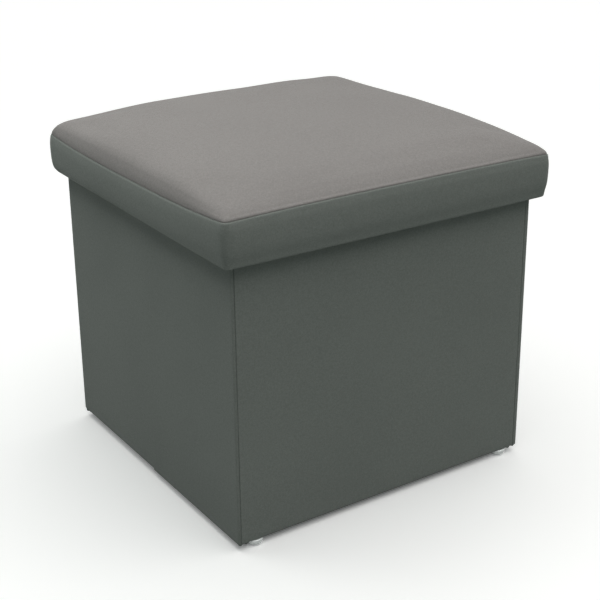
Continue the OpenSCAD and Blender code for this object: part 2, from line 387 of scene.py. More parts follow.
def weave_group():
    """Crossing threads of any cloth: their height, and their tone, which differs at random from thread to
    thread and is darker down between the threads as painted shade.
    """
    group, entry, leave = new_group(
        "crossing threads",
        [
            ("Position", VECTOR, None),
            ("Facing", VECTOR, None),
            ("Threads per metre", FLOAT, 1500.0),
            ("Unevenness", FLOAT, 0.6),
        ],
        [("Height", FLOAT), ("Tone", FLOAT)],
    )
    place, facing = entry.outputs["Position"], entry.outputs["Facing"]
    wander = vectors(group, "SUBTRACT", noise(group, place, 420.0, 3.0, "Color"), (0.5, 0.5, 0.5))
    strength = maths(group, "MULTIPLY", entry.outputs["Unevenness"], 0.0012)
    moved = vectors(group, "ADD", place, vectors(group, "SCALE", wander, scale=strength))
    turns = maths(group, "MULTIPLY", entry.outputs["Threads per metre"], math.pi)
    wound = vectors(group, "SCALE", moved, scale=turns)
    crossing = vectors(group, "ABSOLUTE", vectors(group, "SINE", wound))
    lying = vectors(group, "SUBTRACT", (1.0, 1.0, 1.0), vectors(group, "MULTIPLY", facing, facing))
    threads = maths(group, "MULTIPLY", vectors(group, "DOT_PRODUCT", crossing, lying), 0.5)
    slub = noise(group, place, 900.0, 2.0)
    height = maths(group, "ADD", threads, maths(group, "MULTIPLY", slub, 0.5))
    # Tone follows the height: painted shade down between the threads, times a random slub.
    tone = maths(group, "MULTIPLY", height, slub)
    group.links.new(height, leave.inputs["Height"])
    group.links.new(tone, leave.inputs["Tone"])
    return group


def mottle_group():
    """Slow changes of tone over a surface, with a finer speckle."""
    group, entry, leave = new_group(
        "slow mottle",
        [("Position", VECTOR, None), ("Patches per metre", FLOAT, 9.0), ("Speckle", FLOAT, 0.3)],
        [("Tone", FLOAT)],
    )
    place, patches = entry.outputs["Position"], entry.outputs["Patches per metre"]
    broad = noise(group, place, patches, 2.0)
    fine = noise(group, place, maths(group, "MULTIPLY", patches, 38.0), 4.0)
    speckle = maths(group, "MULTIPLY", maths(group, "SUBTRACT", fine, 0.5), entry.outputs["Speckle"])
    tone = maths(group, "ADD", broad, speckle, clamp=True)
    group.links.new(tone, leave.inputs["Tone"])
    return group


def mottled(tree, place, patches, speckle=0.3):
    inputs = {"Position": place, "Patches per metre": patches, "Speckle": speckle}
    return add_node(tree, "ShaderNodeGroup", inputs, node_tree=MOTTLE).outputs["Tone"]


def empty_tree(owner):
    """The empty node tree of a material or of the world."""
    owner.use_nodes = True
    owner.node_tree.nodes.clear()
    return owner.node_tree


def new_material(name):
    material = bpy.data.materials.new(name)
    tree = empty_tree(material)
    place = add_node(tree, "ShaderNodeTexCoord").outputs["Object"]
    surface = add_node(tree, "ShaderNodeBsdfPrincipled")
    leave = add_node(tree, "ShaderNodeOutputMaterial")
    tree.links.new(surface.outputs["BSDF"], leave.inputs["Surface"])
    return material, tree, place, surface


def blend_colors(tree, share, first, second):
    mixed = add_node(tree, "ShaderNodeMix", {"Factor": share, 6: first, 7: second}, data_type="RGBA")
    return mixed.outputs[2]


def scale_range(tree, value, low, high, to_low, to_high):
    inputs = {"Value": value, "From Min": low, "From Max": high, "To Min": to_low, "To Max": to_high}
    return add_node(tree, "ShaderNodeMapRange", inputs).outputs["Result"]


def bump(tree, height, distance, strength):
    made = add_node(tree, "ShaderNodeBump", {"Height": height, "Distance": distance, "Strength": strength})
    return made.outputs["Normal"]


def shade(color, factor):
    return (color[0] * factor, color[1] * factor, color[2] * factor, 1.0)


def cloth_material(name, color, threads, uneven, contrast, relief, sheen, rough=0.86, speckle=0.3):
    """Cloth of crossing threads with a nap, in one mean colour."""
    material, tree, place, surface = new_material(name)
    weave = add_node(tree, "ShaderNodeGroup", {
        "Position": place,
        "Facing": place.node.outputs["Normal"],
        "Threads per metre": threads,
        "Unevenness": uneven,
    }, node_tree=WEAVE)
    mottle = mottled(tree, place, 9.0, speckle)
    # Thread tone: random from thread to thread, and darker down between the threads as painted shade.
    thread_tone_and_valley_shade = scale_range(tree, weave.outputs["Tone"], 0.2, 0.65, 0.0, 1.0)
    cloth = blend_colors(tree, thread_tone_and_valley_shade, shade(color, 1 - contrast), shade(color, 1 + contrast))
    worn = blend_colors(tree, 0.5, shade(color, 1.0), cloth)
    tone = scale_range(tree, mottle, 0.25, 0.75, 0.975, 1.025)
    set_inputs(tree, surface, {
        "Base Color": vectors(tree, "SCALE", worn, scale=tone),
        "Roughness": scale_range(tree, mottle, 0.25, 0.75, rough + 0.05, rough - 0.05),
        "Normal": bump(tree, weave.outputs["Height"], relief, 0.7),
        "Specular IOR Level": 0.25,
        "Sheen Weight": sheen,
        "Sheen Roughness": 0.45,
    })
    return material


def board_material():
    """Raw fibreboard: pressed fibres, a little lighter and darker."""
    material, tree, place, surface = new_material("raw fibreboard")
    stretched = add_node(tree, "ShaderNodeMapping", {"Vector": place, "Scale": (1.0, 1.0, 3.0)})
    fibres = noise(tree, stretched.outputs[0], 700.0, 5.0)
    tone = maths(tree, "MULTIPLY", fibres, mottled(tree, place, 14.0))
    share = scale_range(tree, tone, 0.1, 0.45, 0.0, 1.0)
    set_inputs(tree, surface, {
        "Base Color": blend_colors(tree, share, (0.27, 0.17, 0.09, 1), (0.42, 0.29, 0.17, 1)),
        "Roughness": scale_range(tree, share, 0, 1, 0.82, 0.7),
        "Normal": bump(tree, fibres, 0.0002, 0.5),
    })
    return material


def foam_material():
    """Open-cell cushion foam."""
    material, tree, place, surface = new_material("cushion foam")
    cells = add_node(tree, "ShaderNodeTexVoronoi", {"Vector": place, "Scale": 900.0}).outputs["Distance"]
    share = scale_range(tree, cells, 0.1, 0.7, 1.0, 0.0)
    mottle = scale_range(tree, mottled(tree, place, 7.0), 0.2, 0.8, 0.6, 1.0)
    mixed = maths(tree, "MULTIPLY", share, mottle)
    set_inputs(tree, surface, {
        "Base Color": blend_colors(tree, mixed, (0.72, 0.62, 0.36, 1), (0.84, 0.77, 0.55, 1)),
        "Roughness": scale_range(tree, mixed, 0, 1, 0.95, 0.85),
        "Normal": bump(tree, cells, 0.0004, 0.6),
    })
    return material


def foot_material():
    """Glossy silver-white glide, darker and rougher in patches towards the floor."""
    material, tree, place, surface = new_material("silver glide")
    height = add_node(tree, "ShaderNodeSeparateXYZ", {0: place}).outputs["Z"]
    patch_noise = noise(tree, place, 1500.0, 4.0)
    # Darker, rougher patches in the lowest 2.5 mm of the glide.
    low = scale_range(tree, height, 0.0, 0.0025, 1.0, 0.0)
    low_dark_patches = maths(tree, "MULTIPLY", low, scale_range(tree, patch_noise, 0.45, 0.62, 0.0, 1.0), clamp=True)
    set_inputs(tree, surface, {
        "Base Color": blend_colors(tree, low_dark_patches, (0.78, 0.81, 0.80, 1), (0.46, 0.47, 0.46, 1)),
        "Roughness": scale_range(tree, low_dark_patches, 0, 1, 0.16, 0.5),
        "Normal": bump(tree, patch_noise, 0.00002, 0.4),
        "Metallic": 0.35,
        "Coat Weight": 0.6,
        "Coat Roughness": 0.08,
    })
    return material


def steel_material():
    """Plain bright wire with fine drawing marks."""
    material, tree, place, surface = new_material("bright steel wire")
    marks = noise(tree, place, 2600.0, 3.0)
    share = scale_range(tree, marks, 0.3, 0.7, 0.0, 1.0)
    set_inputs(tree, surface, {
        "Base Color": blend_colors(tree, share, (0.50, 0.51, 0.53, 1), (0.62, 0.63, 0.65, 1)),
        "Roughness": scale_range(tree, share, 0, 1, 0.38, 0.26),
        "Normal": bump(tree, marks, 0.00003, 0.4),
        "Metallic": 1.0,
    })
    return material


WEAVE = weave_group()
MOTTLE = mottle_group()
NAP = {"threads": 1500.0, "uneven": 0.6, "contrast": 0.22, "relief": 0.00016, "sheen": 0.12}
TWIST = {"threads": 3200.0, "uneven": 0.2, "contrast": 0.3, "relief": 0.0001, "sheen": 0.2, "rough": 0.6}
# One cloth in two colours: the walls, band, pockets and tucks get a copy tinted green as painted side shade,
# the lid's top a warmer, lighter copy as painted light from above.
SHADE_GREENED_CLOTH = cloth_material("grey napped cloth", (0.252, 0.270, 0.2515), speckle=1.9, **NAP)
LIT_WARMED_TOP_CLOTH = cloth_material("grey napped seat cloth", (0.284, 0.266, 0.259), speckle=3.0, **NAP)
LINING = cloth_material(
    "black spun lining", (0.018, 0.018, 0.020),
    threads=900.0, uneven=1.6, contrast=0.35, relief=0.00012, sheen=0.05, rough=0.78,
)
WEBBING = cloth_material(
    "black woven tape", (0.014, 0.014, 0.016),
    threads=700.0, uneven=0.15, contrast=0.5, relief=0.0004, sheen=0.1, rough=0.7,
)
HOOKS = cloth_material(
    "black hook tape", (0.012, 0.012, 0.013),
    threads=1200.0, uneven=0.9, contrast=0.5, relief=0.0004, sheen=0.15, rough=0.72,
)
THREAD = cloth_material("grey sewing thread", (0.20, 0.20, 0.19), **TWIST)
DARK_THREAD = cloth_material("black sewing thread", (0.02, 0.02, 0.022), **TWIST)
BOARD = board_material()
FOAM = foam_material()
FOOT = foot_material()
STEEL = steel_material()


def finish_piece(piece, material, body=None):
    piece.data.materials.clear()
    piece.data.materials.append(material)
    if body:
        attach(piece, body)
    return piece


# ---------------------------------------------------------------- what repeats


def repeat_tree(name, inputs):
    """An empty Geometry Nodes tree that takes a path and has named inputs."""
    tree = bpy.data.node_groups.new(name, "GeometryNodeTree")
    tree.interface.new_socket("Path", in_out="INPUT", socket_type="NodeSocketGeometry")
    for label, kind, value in inputs:
        tree.interface.new_socket(label, in_out="INPUT", socket_type=kind).default_value = value
    tree.interface.new_socket("Geometry", in_out="OUTPUT", socket_type="NodeSocketGeometry")
    return tree, tree.nodes.new("NodeGroupInput"), tree.nodes.new("NodeGroupOutput")


def repeat_along(tree, entry, leave, shape, axis, material):
    """Sets the shape along the tree's path at its pitch, each one turned to the path and a little askew."""
    path = add_node(tree, "GeometryNodeMeshToCurve", {"Mesh": entry.outputs["Path"]})
    spacing = {"Curve": path.outputs[0], "Length": entry.outputs["Pitch"]}
    even = add_node(tree, "GeometryNodeResampleCurve", spacing, mode="LENGTH")
    tangent = add_node(tree, "GeometryNodeInputTangent")
    turned = add_node(tree, "FunctionNodeAlignRotationToVector", {"Vector": tangent.outputs[0]}, axis=axis)
    span = {0: (-1, -1, -1), 1: (1, 1, 1), "Seed": entry.outputs["Seed"]}
    chance = add_node(tree, "FunctionNodeRandomValue", span, data_type="FLOAT_VECTOR")
    askew = vectors(tree, "SCALE", chance.outputs[0], scale=entry.outputs["Askew"])
    tilt = add_node(tree, "FunctionNodeEulerToRotation", {"Euler": askew})
    turns = {"Rotation": turned.outputs[0], "Rotate By": tilt.outputs[0]}
    rotation = add_node(tree, "FunctionNodeRotateRotation", turns, rotation_space="LOCAL")
    places = {"Points": even.outputs[0], "Instance": shape, "Rotation": rotation.outputs[0]}
    copies = add_node(tree, "GeometryNodeInstanceOnPoints", places)
    whole = add_node(tree, "GeometryNodeRealizeInstances", {"Geometry": copies.outputs[0]})
    smooth = add_node(tree, "GeometryNodeSetShadeSmooth", {0: whole.outputs[0]})
    colored = add_node(tree, "GeometryNodeSetMaterial", {"Geometry": smooth.outputs[0], "Material": material})
    tree.links.new(colored.outputs[0], leave.inputs[0])


def stitch_tree(name, material):
    """Running stitches: short rounded lengths of thread with a gap after each."""
    tree, entry, leave = repeat_tree(name, [
        ("Pitch", "NodeSocketFloat", STITCH_PITCH),
        ("Length", "NodeSocketFloat", STITCH_LENGTH),
        ("Radius", "NodeSocketFloat", STITCH_RADIUS),
        ("Askew", "NodeSocketFloat", 0.05),
        ("Seed", "NodeSocketInt", SEED),
    ])
    ball = add_node(tree, "GeometryNodeMeshUVSphere", {"Segments": 6, "Rings": 5, "Radius": 1.0})
    half = maths(tree, "MULTIPLY", entry.outputs["Length"], 0.5)
    radius = entry.outputs["Radius"]
    size = add_node(tree, "ShaderNodeCombineXYZ", {"X": radius, "Y": radius, "Z": half})
    shape = add_node(tree, "GeometryNodeTransform", {"Geometry": ball.outputs[0], "Scale": size.outputs[0]})
    repeat_along(tree, entry, leave, shape.outputs[0], "Z", material)
    return tree


def staple_tree(name, material):
    """Wire staples: a crown that lies along the path and two legs that go up."""
    tree, entry, leave = repeat_tree(name, [
        ("Pitch", "NodeSocketFloat", 50 * MM),
        ("Width", "NodeSocketFloat", 10 * MM),
        ("Leg", "NodeSocketFloat", 6 * MM),
        ("Wire radius", "NodeSocketFloat", 0.3 * MM),
        ("Askew", "NodeSocketFloat", 0.004),
        ("Seed", "NodeSocketInt", SEED),
    ])
    wire, width, leg_l = (entry.outputs[label] for label in ("Wire radius", "Width", "Leg"))
    reach = maths(tree, "SUBTRACT", maths(tree, "MULTIPLY", width, 0.5), wire)
    crown = add_node(tree, "GeometryNodeMeshCylinder", {"Vertices": 8, "Radius": wire, "Depth": width})
    lying = {"Geometry": crown.outputs[0], "Rotation": (0.0, math.pi / 2, 0.0)}
    crown = add_node(tree, "GeometryNodeTransform", lying)
    leg = add_node(tree, "GeometryNodeMeshCylinder", {"Vertices": 8, "Radius": wire, "Depth": leg_l})
    up = maths(tree, "MULTIPLY", leg_l, 0.5)
    whole = add_node(tree, "GeometryNodeJoinGeometry")
    tree.links.new(crown.outputs[0], whole.inputs[0])
    for side in (-1.0, 1.0):
        place = add_node(tree, "ShaderNodeCombineXYZ", {"X": maths(tree, "MULTIPLY", reach, side), "Z": up})
        standing = {"Geometry": leg.outputs[0], "Translation": place.outputs[0]}
        moved = add_node(tree, "GeometryNodeTransform", standing)
        tree.links.new(moved.outputs[0], whole.inputs[0])
    repeat_along(tree, entry, leave, whole.outputs[0], "X", material)
    return tree


def repeat_on(name, paths, tree, values=None):
    """One mesh of what the tree sets along some paths. Each path is its points and whether it closes."""
    points, edges = [], []
    for path, closed in paths:
        first, count = len(points), len(path)
        points += [tuple(float(v) for v in p) for p in path]
        edges += [(first + k, first + k + 1) for k in range(count - 1)]
        if closed:
            edges.append((first + count - 1, first))
    mesh = bpy.data.meshes.new(name)
    mesh.from_pydata(points, edges, [])
    piece = put(name, mesh)
    modifier = piece.modifiers.new(name, "NODES")
    modifier.node_group = tree
    sockets = {item.name: item.identifier for item in tree.interface.items_tree if item.in_out == "INPUT"}
    for label, value in (values or {}).items():
        modifier[sockets[label]] = value
    return settle(piece)


GREY_STITCHES = stitch_tree("grey running stitches", THREAD)
BLACK_STITCHES = stitch_tree("black running stitches", DARK_THREAD)
STAPLES = staple_tree("wire staples", STEEL)


def sew(name, paths, tree, body):
    """Stitches along some paths, riding on a body."""
    piece = repeat_on(name, paths, tree)
    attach(piece, body)
    return piece


def rectangle(low, high, z):
    """A closed path round a rectangle in plan."""
    return [(low[0], low[1], z), (high[0], low[1], z), (high[0], high[1], z), (low[0], high[1], z)], True


# ---------------------------------------------------------------- lid

band_low, band_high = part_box("lid_band")
crown_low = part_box("lid_top_panel")[0]
liner_low, liner_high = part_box("lid_liner")
foam_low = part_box("lid_foam")[0]
wadding_low, wadding_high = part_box("lid_side_padding")
LID_X, LID_Y = band_high.x, band_high.y
LID_BOTTOM, SEAM_Z = band_low.z, crown_low.z
POCKET_X = liner_high.x + 0.3 * MM
RIM_INSET = LID_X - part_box("lid_board")[1].x
RIM_CORNER = 2.3 * MM

# How the seam bows at the middle of each side: outwards, upwards. Front, right, back, left.
SEAM_BOW = ((-1.5 * MM, 1.6 * MM), (0.0, 0.0), (0.0, 0.0), (1.0 * MM, -4.6 * MM))
# How far the seam sits above its even height at each corner. Front left, front right, back right, back left.
SEAM_LIFT = (-1.6 * MM, 0.0, 0.0, 0.6 * MM)
# The same for the band's lower edge above the lid's bottom.
HEM_LIFT = (-5.6 * MM, -4.4 * MM, -1.0 * MM, 4.4 * MM)
# How the crown rises from each side, front first: the share that rises quickly, the run of that rise and
# the run of the slow one.
CROWN_SHAPE = (
    (0.50, 12 * MM, 110 * MM),
    (0.90, 4.5 * MM, 40 * MM),
    (0.90, 4.6 * MM, 34 * MM),
    (0.55, 4.6 * MM, 75 * MM),
)


def side_shares(count):
    """For each point of a loop of count points: how much it belongs to each of the four sides."""
    per_side = count // 4
    t = np.arange(per_side) / per_side * 2 - 1
    near = 0.5 * np.clip((np.abs(t) - 0.4) / 0.6, 0, 1) ** 2
    shares = np.zeros((4, count))
    for side in range(4):
        part = slice(side * per_side, (side + 1) * per_side)
        shares[side, part] = 1 - near
        shares[(side - 1) % 4, part] += np.where(t < 0, near, 0)
        shares[(side + 1) % 4, part] += np.where(t > 0, near, 0)
    return shares


def side_arch(count):
    """1 at the middle of each side of a loop of count points, down to 0 at its corners."""
    t = np.arange(count // 4) / (count // 4) * 2 - 1
    return np.tile(1 - np.abs(t) ** 3, 4)


def bow(count):
    """Outward and upward offset of the seam at each point of a loop."""
    arch = side_arch(count)[:count // 4]
    out = np.concatenate([side[0] * arch for side in SEAM_BOW])
    up = np.concatenate([side[1] * arch for side in SEAM_BOW])
    return out, up + between_corners(SEAM_LIFT, count)


def between_corners(values, count):
    """Values given at the four corners, carried evenly along the sides of a loop of count points."""
    share = np.arange(count // 4) / (count // 4)
    after = values[1:] + values[:1]
    return np.concatenate([here + (there - here) * share for here, there in zip(values, after)])


def crown_height(inset, loop):
    """Height of the crown along a loop that lies an inset inside the seam."""
    shares = side_shares(len(loop))
    quick = 1 - sum(weight * math.exp(-inset / run) for (_, run, _), weight in zip(CROWN_SHAPE, shares))
    to_side = (loop[:, 1] + LID_Y, LID_X - loop[:, 0], LID_Y - loop[:, 1], loop[:, 0] + LID_X)
    slow = 1.0
    for (share, _, run), distance in zip(CROWN_SHAPE, to_side):
        slow = slow * (1 - (1 - share) * np.exp(-np.maximum(distance, 0) / run))
    up = bow(len(loop))[1]
    return SEAM_Z + up * (1 - quick) + CROWN_RISE * quick * slow


def lid_loop(inset, height, radius, out=0.0):
    """A loop of the lid's skin. out pushes each point away from the middle of the lid."""
    loop = rounded_loop(LID_X - inset, LID_Y - inset, radius, COLUMNS_PER_SIDE)
    ahead = np.roll(loop, -1, 0) - np.roll(loop, 1, 0)
    outward = np.stack([ahead[:, 1], -ahead[:, 0]], 1) / np.linalg.norm(ahead, axis=1)[:, None]
    return at_height(loop + outward * np.broadcast_to(out, len(loop))[:, None], height)


def band_push(z, seam_z, middle):
    """How far the band stands out: pulled in at the seam, full below it, drawn in towards its lower edge."""
    below = seam_z - z
    tuck = SEAM_TUCK * np.exp(-below / SEAM_TUCK_RUN)
    taper = BAND_TAPER * np.maximum(below - BAND_TAPER_FROM, 0)
    low_part = below - HEM_TURN_FROM * (seam_z - LID_BOTTOM)
    turn = HEM_TURN * np.clip(low_part / HEM_TURN_RUN, 0, 1) ** 2
    return BAND_BELLY * middle - tuck - taper - turn


def lid_loops():
    """Rows of the lid's skin: out of the pocket, under the rim, up the band and onto the crown."""
    count = 4 * COLUMNS_PER_SIDE
    middle = side_arch(count)
    lift = between_corners(HEM_LIFT, count)
    out, up = bow(count)
    seam_z = SEAM_Z + up
    pocket = LID_X - POCKET_X
    heights = (liner_low.z - 1 * MM, LID_BOTTOM + 6 * MM, LID_BOTTOM + 2.2 * MM)
    loops = [lid_loop(pocket, z, 1.5 * MM) for z in heights]
    loops.append(lid_loop(pocket - 0.6 * MM, LID_BOTTOM + 0.6 * MM, 2 * MM))
    loops.append(lid_loop(pocket - 2 * MM, LID_BOTTOM, 3 * MM))
    # Round the lower edge, where the corners' lift grows from row to row
    for step in range(6):
        a = math.radians(18 * step)
        inset = LID_EDGE_ROUND * (1 - math.sin(a))
        z = LID_BOTTOM + LID_EDGE_ROUND * (1 - math.cos(a)) + lift * (0.12 + 0.176 * step)
        push = band_push(z, seam_z, middle)
        loops.append(lid_loop(inset, z, max(LID_CORNER - inset, 2 * MM), push))
    first_free = len(loops)
    hem_z = z
    rows = round((SEAM_Z - LID_BOTTOM - LID_EDGE_ROUND) / BAND_ROW)
    for row in range(1, rows + 1):
        share = row / rows
        z = hem_z + (seam_z - hem_z) * share
        loops.append(lid_loop(0, z, LID_CORNER, band_push(z, seam_z, middle) + out * share))
    seam_row = len(loops) - 1
    seam_push = band_push(seam_z, seam_z, middle) + out
    insets = border_insets()
    for inset in insets:
        radius = LID_CORNER + CROWN_CORNER_GROWTH * inset
        loop = lid_loop(inset, 0.0, radius, seam_push * math.exp(-inset / (20 * MM)))
        loop[:, 2] = crown_height(inset, loop)
        loops.append(loop)
    return loops, first_free, seam_row, insets[-1]


def border_insets():
    """Insets of the first rows above the seam, about one band row of cloth apart."""
    share, quick, _ = CROWN_SHAPE[0]
    insets, inset, walked = [], 0.0, 0.0
    step = 0.05 * MM
    while len(insets) < BORDER_ROWS:
        slope = CROWN_RISE * share / quick * math.exp(-inset / quick)
        walked += step * math.hypot(1, slope)
        inset += step
        if walked >= BAND_ROW * (len(insets) + 1):
            insets.append(inset)
    return insets


def crown_rings(first_inset):
    """Rings of the crown inside the border rows, down to the middle of the top."""
    def crown(inset, loop):
        return crown_height(first_inset + inset, loop)

    half_w, half_d = LID_X - first_inset, LID_Y - first_inset
    corner = LID_CORNER + CROWN_CORNER_GROWTH * first_inset
    return cap_rings(half_w, half_d, corner, CROWN_CORNER_GROWTH, COLUMNS_PER_SIDE // 2, crown)


def neighbour_mean(mesh, values, times):
    """Smooths values from vertex to vertex along the mesh's edges."""
    ends = np.zeros(len(mesh.edges) * 2, int)
    mesh.edges.foreach_get("vertices", ends)
    first, second = ends.reshape(-1, 2).T
    joined = np.bincount(ends, minlength=len(values))[:, None]
    for _ in range(times):
        total = np.zeros_like(values)
        np.add.at(total, first, values[second])
        np.add.at(total, second, values[first])
        values = 0.5 * values + 0.5 * total / joined
    return values


def swell(piece, held, limits):
    """Blows the cloth up a little between the held points, as sewn cloth stretches over foam."""
    start = coordinates(piece.data)
    pins = piece.vertex_groups.new(name="held")
    pins.add([int(n) for n in np.nonzero(held)[0]], 1.0, "REPLACE")
    cloth = piece.modifiers.new("cloth", "CLOTH")
    cloth.settings.quality = 5
    cloth.settings.mass = 0.25
    cloth.settings.tension_stiffness = 20
    cloth.settings.compression_stiffness = 20
    cloth.settings.shear_stiffness = 8
    cloth.settings.bending_stiffness = 2
    cloth.settings.vertex_group_mass = "held"
    cloth.settings.use_pressure = True
    cloth.settings.uniform_pressure_force = SIM_PRESSURE
    cloth.settings.effector_weights.gravity = 0
    cloth.collision_settings.use_collision = False
    cloth.point_cache.frame_start = 1
    cloth.point_cache.frame_end = SIM_FRAMES
    scene = bpy.context.scene
    for frame_number in range(1, SIM_FRAMES + 1):
        scene.frame_set(frame_number)
    graph = bpy.context.evaluated_depsgraph_get()
    moved = coordinates(piece.evaluated_get(graph).data) - start
    piece.modifiers.clear()
    scene.frame_set(1)
    length = np.linalg.norm(moved, axis=1)
    share = np.minimum(1, limits / np.maximum(length, 1e-9))
    loose = ~np.asarray(held)
    calmed = neighbour_mean(piece.data, moved * share[:, None], SIM_CALM)
    return start + calmed * loose[:, None]


def between_rows(rows, at):
    """A row of points at a fractional row number, on a smooth curve through the rows."""
    i = int(min(max(math.floor(at), 0), len(rows) - 2))
    t = at - i
    a, b = rows[max(i - 1, 0)], rows[i]
    c, d = rows[i + 1], rows[min(i + 2, len(rows) - 1)]
    return 0.5 * (2 * b + (c - a) * t + (2 * a - 5 * b + 4 * c - d) * t**2 + (3 * b - a - 3 * c + d) * t**3)


SEAM_STEPS = [x * MM for x in (0.0, 0.3, 0.65, 1.05, 1.5, 2.0, 2.6, 3.3, 4.2, 5.3, 6.6)]


def seam_relief(distance, ridge, ridge_at, ridge_width):
    """How far the cloth stands out beside the seam: down into the groove, then up over the allowances."""
    groove = -LID_GROOVE_DEPTH * np.exp(-((distance / LID_GROOVE_WIDTH) ** 2))
    return groove + ridge * np.exp(-(((distance - ridge_at) / ridge_width) ** 2))


def sewn_edge(rows, seam_row, towards, ridge):
    """Rows from the seam outwards, with the seam's relief, and the allowance turned in behind the seam."""
    made = [between_rows(rows, seam_row + towards * step / BAND_ROW) for step in SEAM_STEPS]
    sheet = np.array(made)
    along = np.roll(sheet, -1, 1) - np.roll(sheet, 1, 1)
    across = np.gradient(sheet, axis=0) * towards
    out = np.cross(along, across)
    out /= np.linalg.norm(out, axis=2)[:, :, None]
    pulls = Waves(SEED + 3, 5 * MM, 11 * MM).at(sheet[0])
    for i, step in enumerate(SEAM_STEPS):
        pull = SEAM_PULL * pulls * math.exp(-step / SEAM_PULL_RUN)
        sheet[i] += out[i] * (seam_relief(step, *ridge) + pull)[:, None]
    sheet[0] += np.array([0, 0, SEAM_GAP]) * towards
    turned = [sheet[0] - out[0] * depth for depth in (SEAM_ALLOWANCE, 0.5 * SEAM_ALLOWANCE, 0.3 * MM)]
    return turned, list(sheet)


def make_lid_cloth():
    loops, first_free, seam_row, last_inset = lid_loops()
    rings = crown_rings(last_inset)
    count = len(loops[0])
    skin = loops_and_cap("lid_skin", loops, rings)
    points = coordinates(skin.data)
    unevenness = Waves(SEED, 70 * MM, 190 * MM)
    row_of = np.minimum(np.arange(len(points)) // count, len(loops))
    on_top = row_of > seam_row
    ease = np.clip((row_of - seam_row) / 5, 0, 1)
    points += normals(skin.data) * (unevenness.at(points) * 0.5 * MM * ease * on_top)[:, None]
    set_coordinates(skin.data, points)
    held = (row_of < first_free) | (row_of == seam_row)
    limits = np.where(on_top, TOP_SWELL, BAND_SWELL)
    points = swell(skin, held, limits)
    rows = [points[r * count:(r + 1) * count] for r in range(len(loops))]
    inner = points[len(loops) * count:]
    bpy.data.objects.remove(skin)

    turned, edge = sewn_edge(rows, seam_row, -1, BAND_RIDGE)
    band_rows = rows[:seam_row - 1] + edge[::-1] + turned[::-1]
    band = loops_and_cap("lid_band_cloth", band_rows)
    turned, edge = sewn_edge(rows, seam_row, 1, TOP_RIDGE)
    top_rows = turned + edge + rows[seam_row + 2:]
    top = loops_and_cap("lid_top_cloth", top_rows, as_rings(inner, count))
    return band, top, rows, inner, seam_row


def make_cushion(rows, inner, seam_row):
    """The foam under the lid's cloth, pinched where the seam's allowances press into it."""
    count = len(rows[0])
    under = [row for row in rows[:seam_row] if row[0, 2] > foam_low.z + 1 * MM]
    loops = under + rows[seam_row:]
    piece = loops_and_cap("lid_cushion_foam", loops, as_rings(inner, count))
    points = coordinates(piece.data)
    row_of = np.arange(len(points)) // count - len(under)
    pinch = CUSHION_BACK + SEAM_PINCH * np.exp(-((row_of * BAND_ROW / SEAM_PINCH_RUN) ** 2))
    points -= normals(piece.data) * pinch[:, None]
    set_coordinates(piece.data, points)
    piece.data = closed_below(piece, count, foam_low.z)
    return piece


def closed_below(piece, count, z):
    """The same skin with its first loop carried down to a height and closed with a flat bottom."""
    points = coordinates(piece.data)
    foot = points[:count].copy()
    foot[:, 2] = z
    faces = [tuple(v + count for v in face.vertices) for face in piece.data.polygons]
    faces += quads(2, count, True)
    faces.append(tuple(range(count))[::-1])
    mesh = bpy.data.meshes.new(piece.name)
    mesh.from_pydata([tuple(p) for p in np.concatenate([foot, points])], [], faces)
    mesh.shade_smooth()
    mesh.set_sharp_from_angle(angle=math.radians(50))
    return mesh


def make_wadding():
    """Wadding round the outside of the rim, which rounds the band."""
    count = 4 * COLUMNS_PER_SIDE
    middle = side_arch(count)
    seam_z = SEAM_Z + bow(count)[1]
    low, high = wadding_low.z, wadding_high.z - 0.2 * MM
    back = RIM_INSET + 0.05 * MM
    behind = CLOTH_T + 0.3 * MM
    loops = [lid_loop(back, low, RIM_CORNER)]
    for share, thinner in WADDING_THINNER:
        z = low + (high - low) * share
        inset = np.minimum(behind + thinner * MM - band_push(z, seam_z, middle), back - 0.8 * MM)
        loops.append(lid_loop(0, z, LID_CORNER, -inset))
    loops.append(lid_loop(back, high, RIM_CORNER))
    loops.append(lid_loop(back, (low + high) / 2, RIM_CORNER))
    points = np.concatenate(loops)
    faces = quads(len(loops), count, True)
    last = (len(loops) - 1) * count
    faces += [(last + c, last + (c + 1) % count, (c + 1) % count, c) for c in range(count)]
    return new_piece("lid_edge_wadding", points, faces)


def make_liner():
    """Black liner stapled under the lid's board, slack between its staples."""
    x, y = liner_high.x, liner_high.y
    rings, corner = 40, 2 * MM
    slack = Waves(SEED + 5, 25 * MM, 60 * MM)
    drop = liner_low.z + LINER_OFF

    def hang(inset, loop):
        return drop + LINER_SLACK * slack.at(at_height(loop, 0)) * min(1, inset / (12 * MM))

    edge = at_height(rounded_loop(x, y, corner, 2 * rings), drop)
    piece = loops_and_cap("lid_liner_cloth", [edge], cap_rings(x, y, corner, 0.0, rings, hang))
    piece.data.flip_normals()
    return piece


def lid():
    band, top, rows, inner, seam_row = make_lid_cloth()
    thicken(band, CLOTH_T, 1)
    thicken(top, CLOTH_T, 1)
    finish_piece(band, SHADE_GREENED_CLOTH, "lid")
    finish_piece(top, LIT_WARMED_TOP_CLOTH, "lid")
    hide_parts("lid_band")
    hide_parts("lid_top_panel")

    cushion = make_cushion(rows, inner, seam_row)
    finish_piece(cushion, FOAM, "lid")
    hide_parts("lid_foam")

    wadding = finish_piece(make_wadding(), FOAM, "lid")
    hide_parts("lid_side_padding")

    liner = thicken(make_liner(), LINING_T)
    finish_piece(liner, LINING, "lid")
    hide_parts("lid_liner")


# ---------------------------------------------------------------- walls


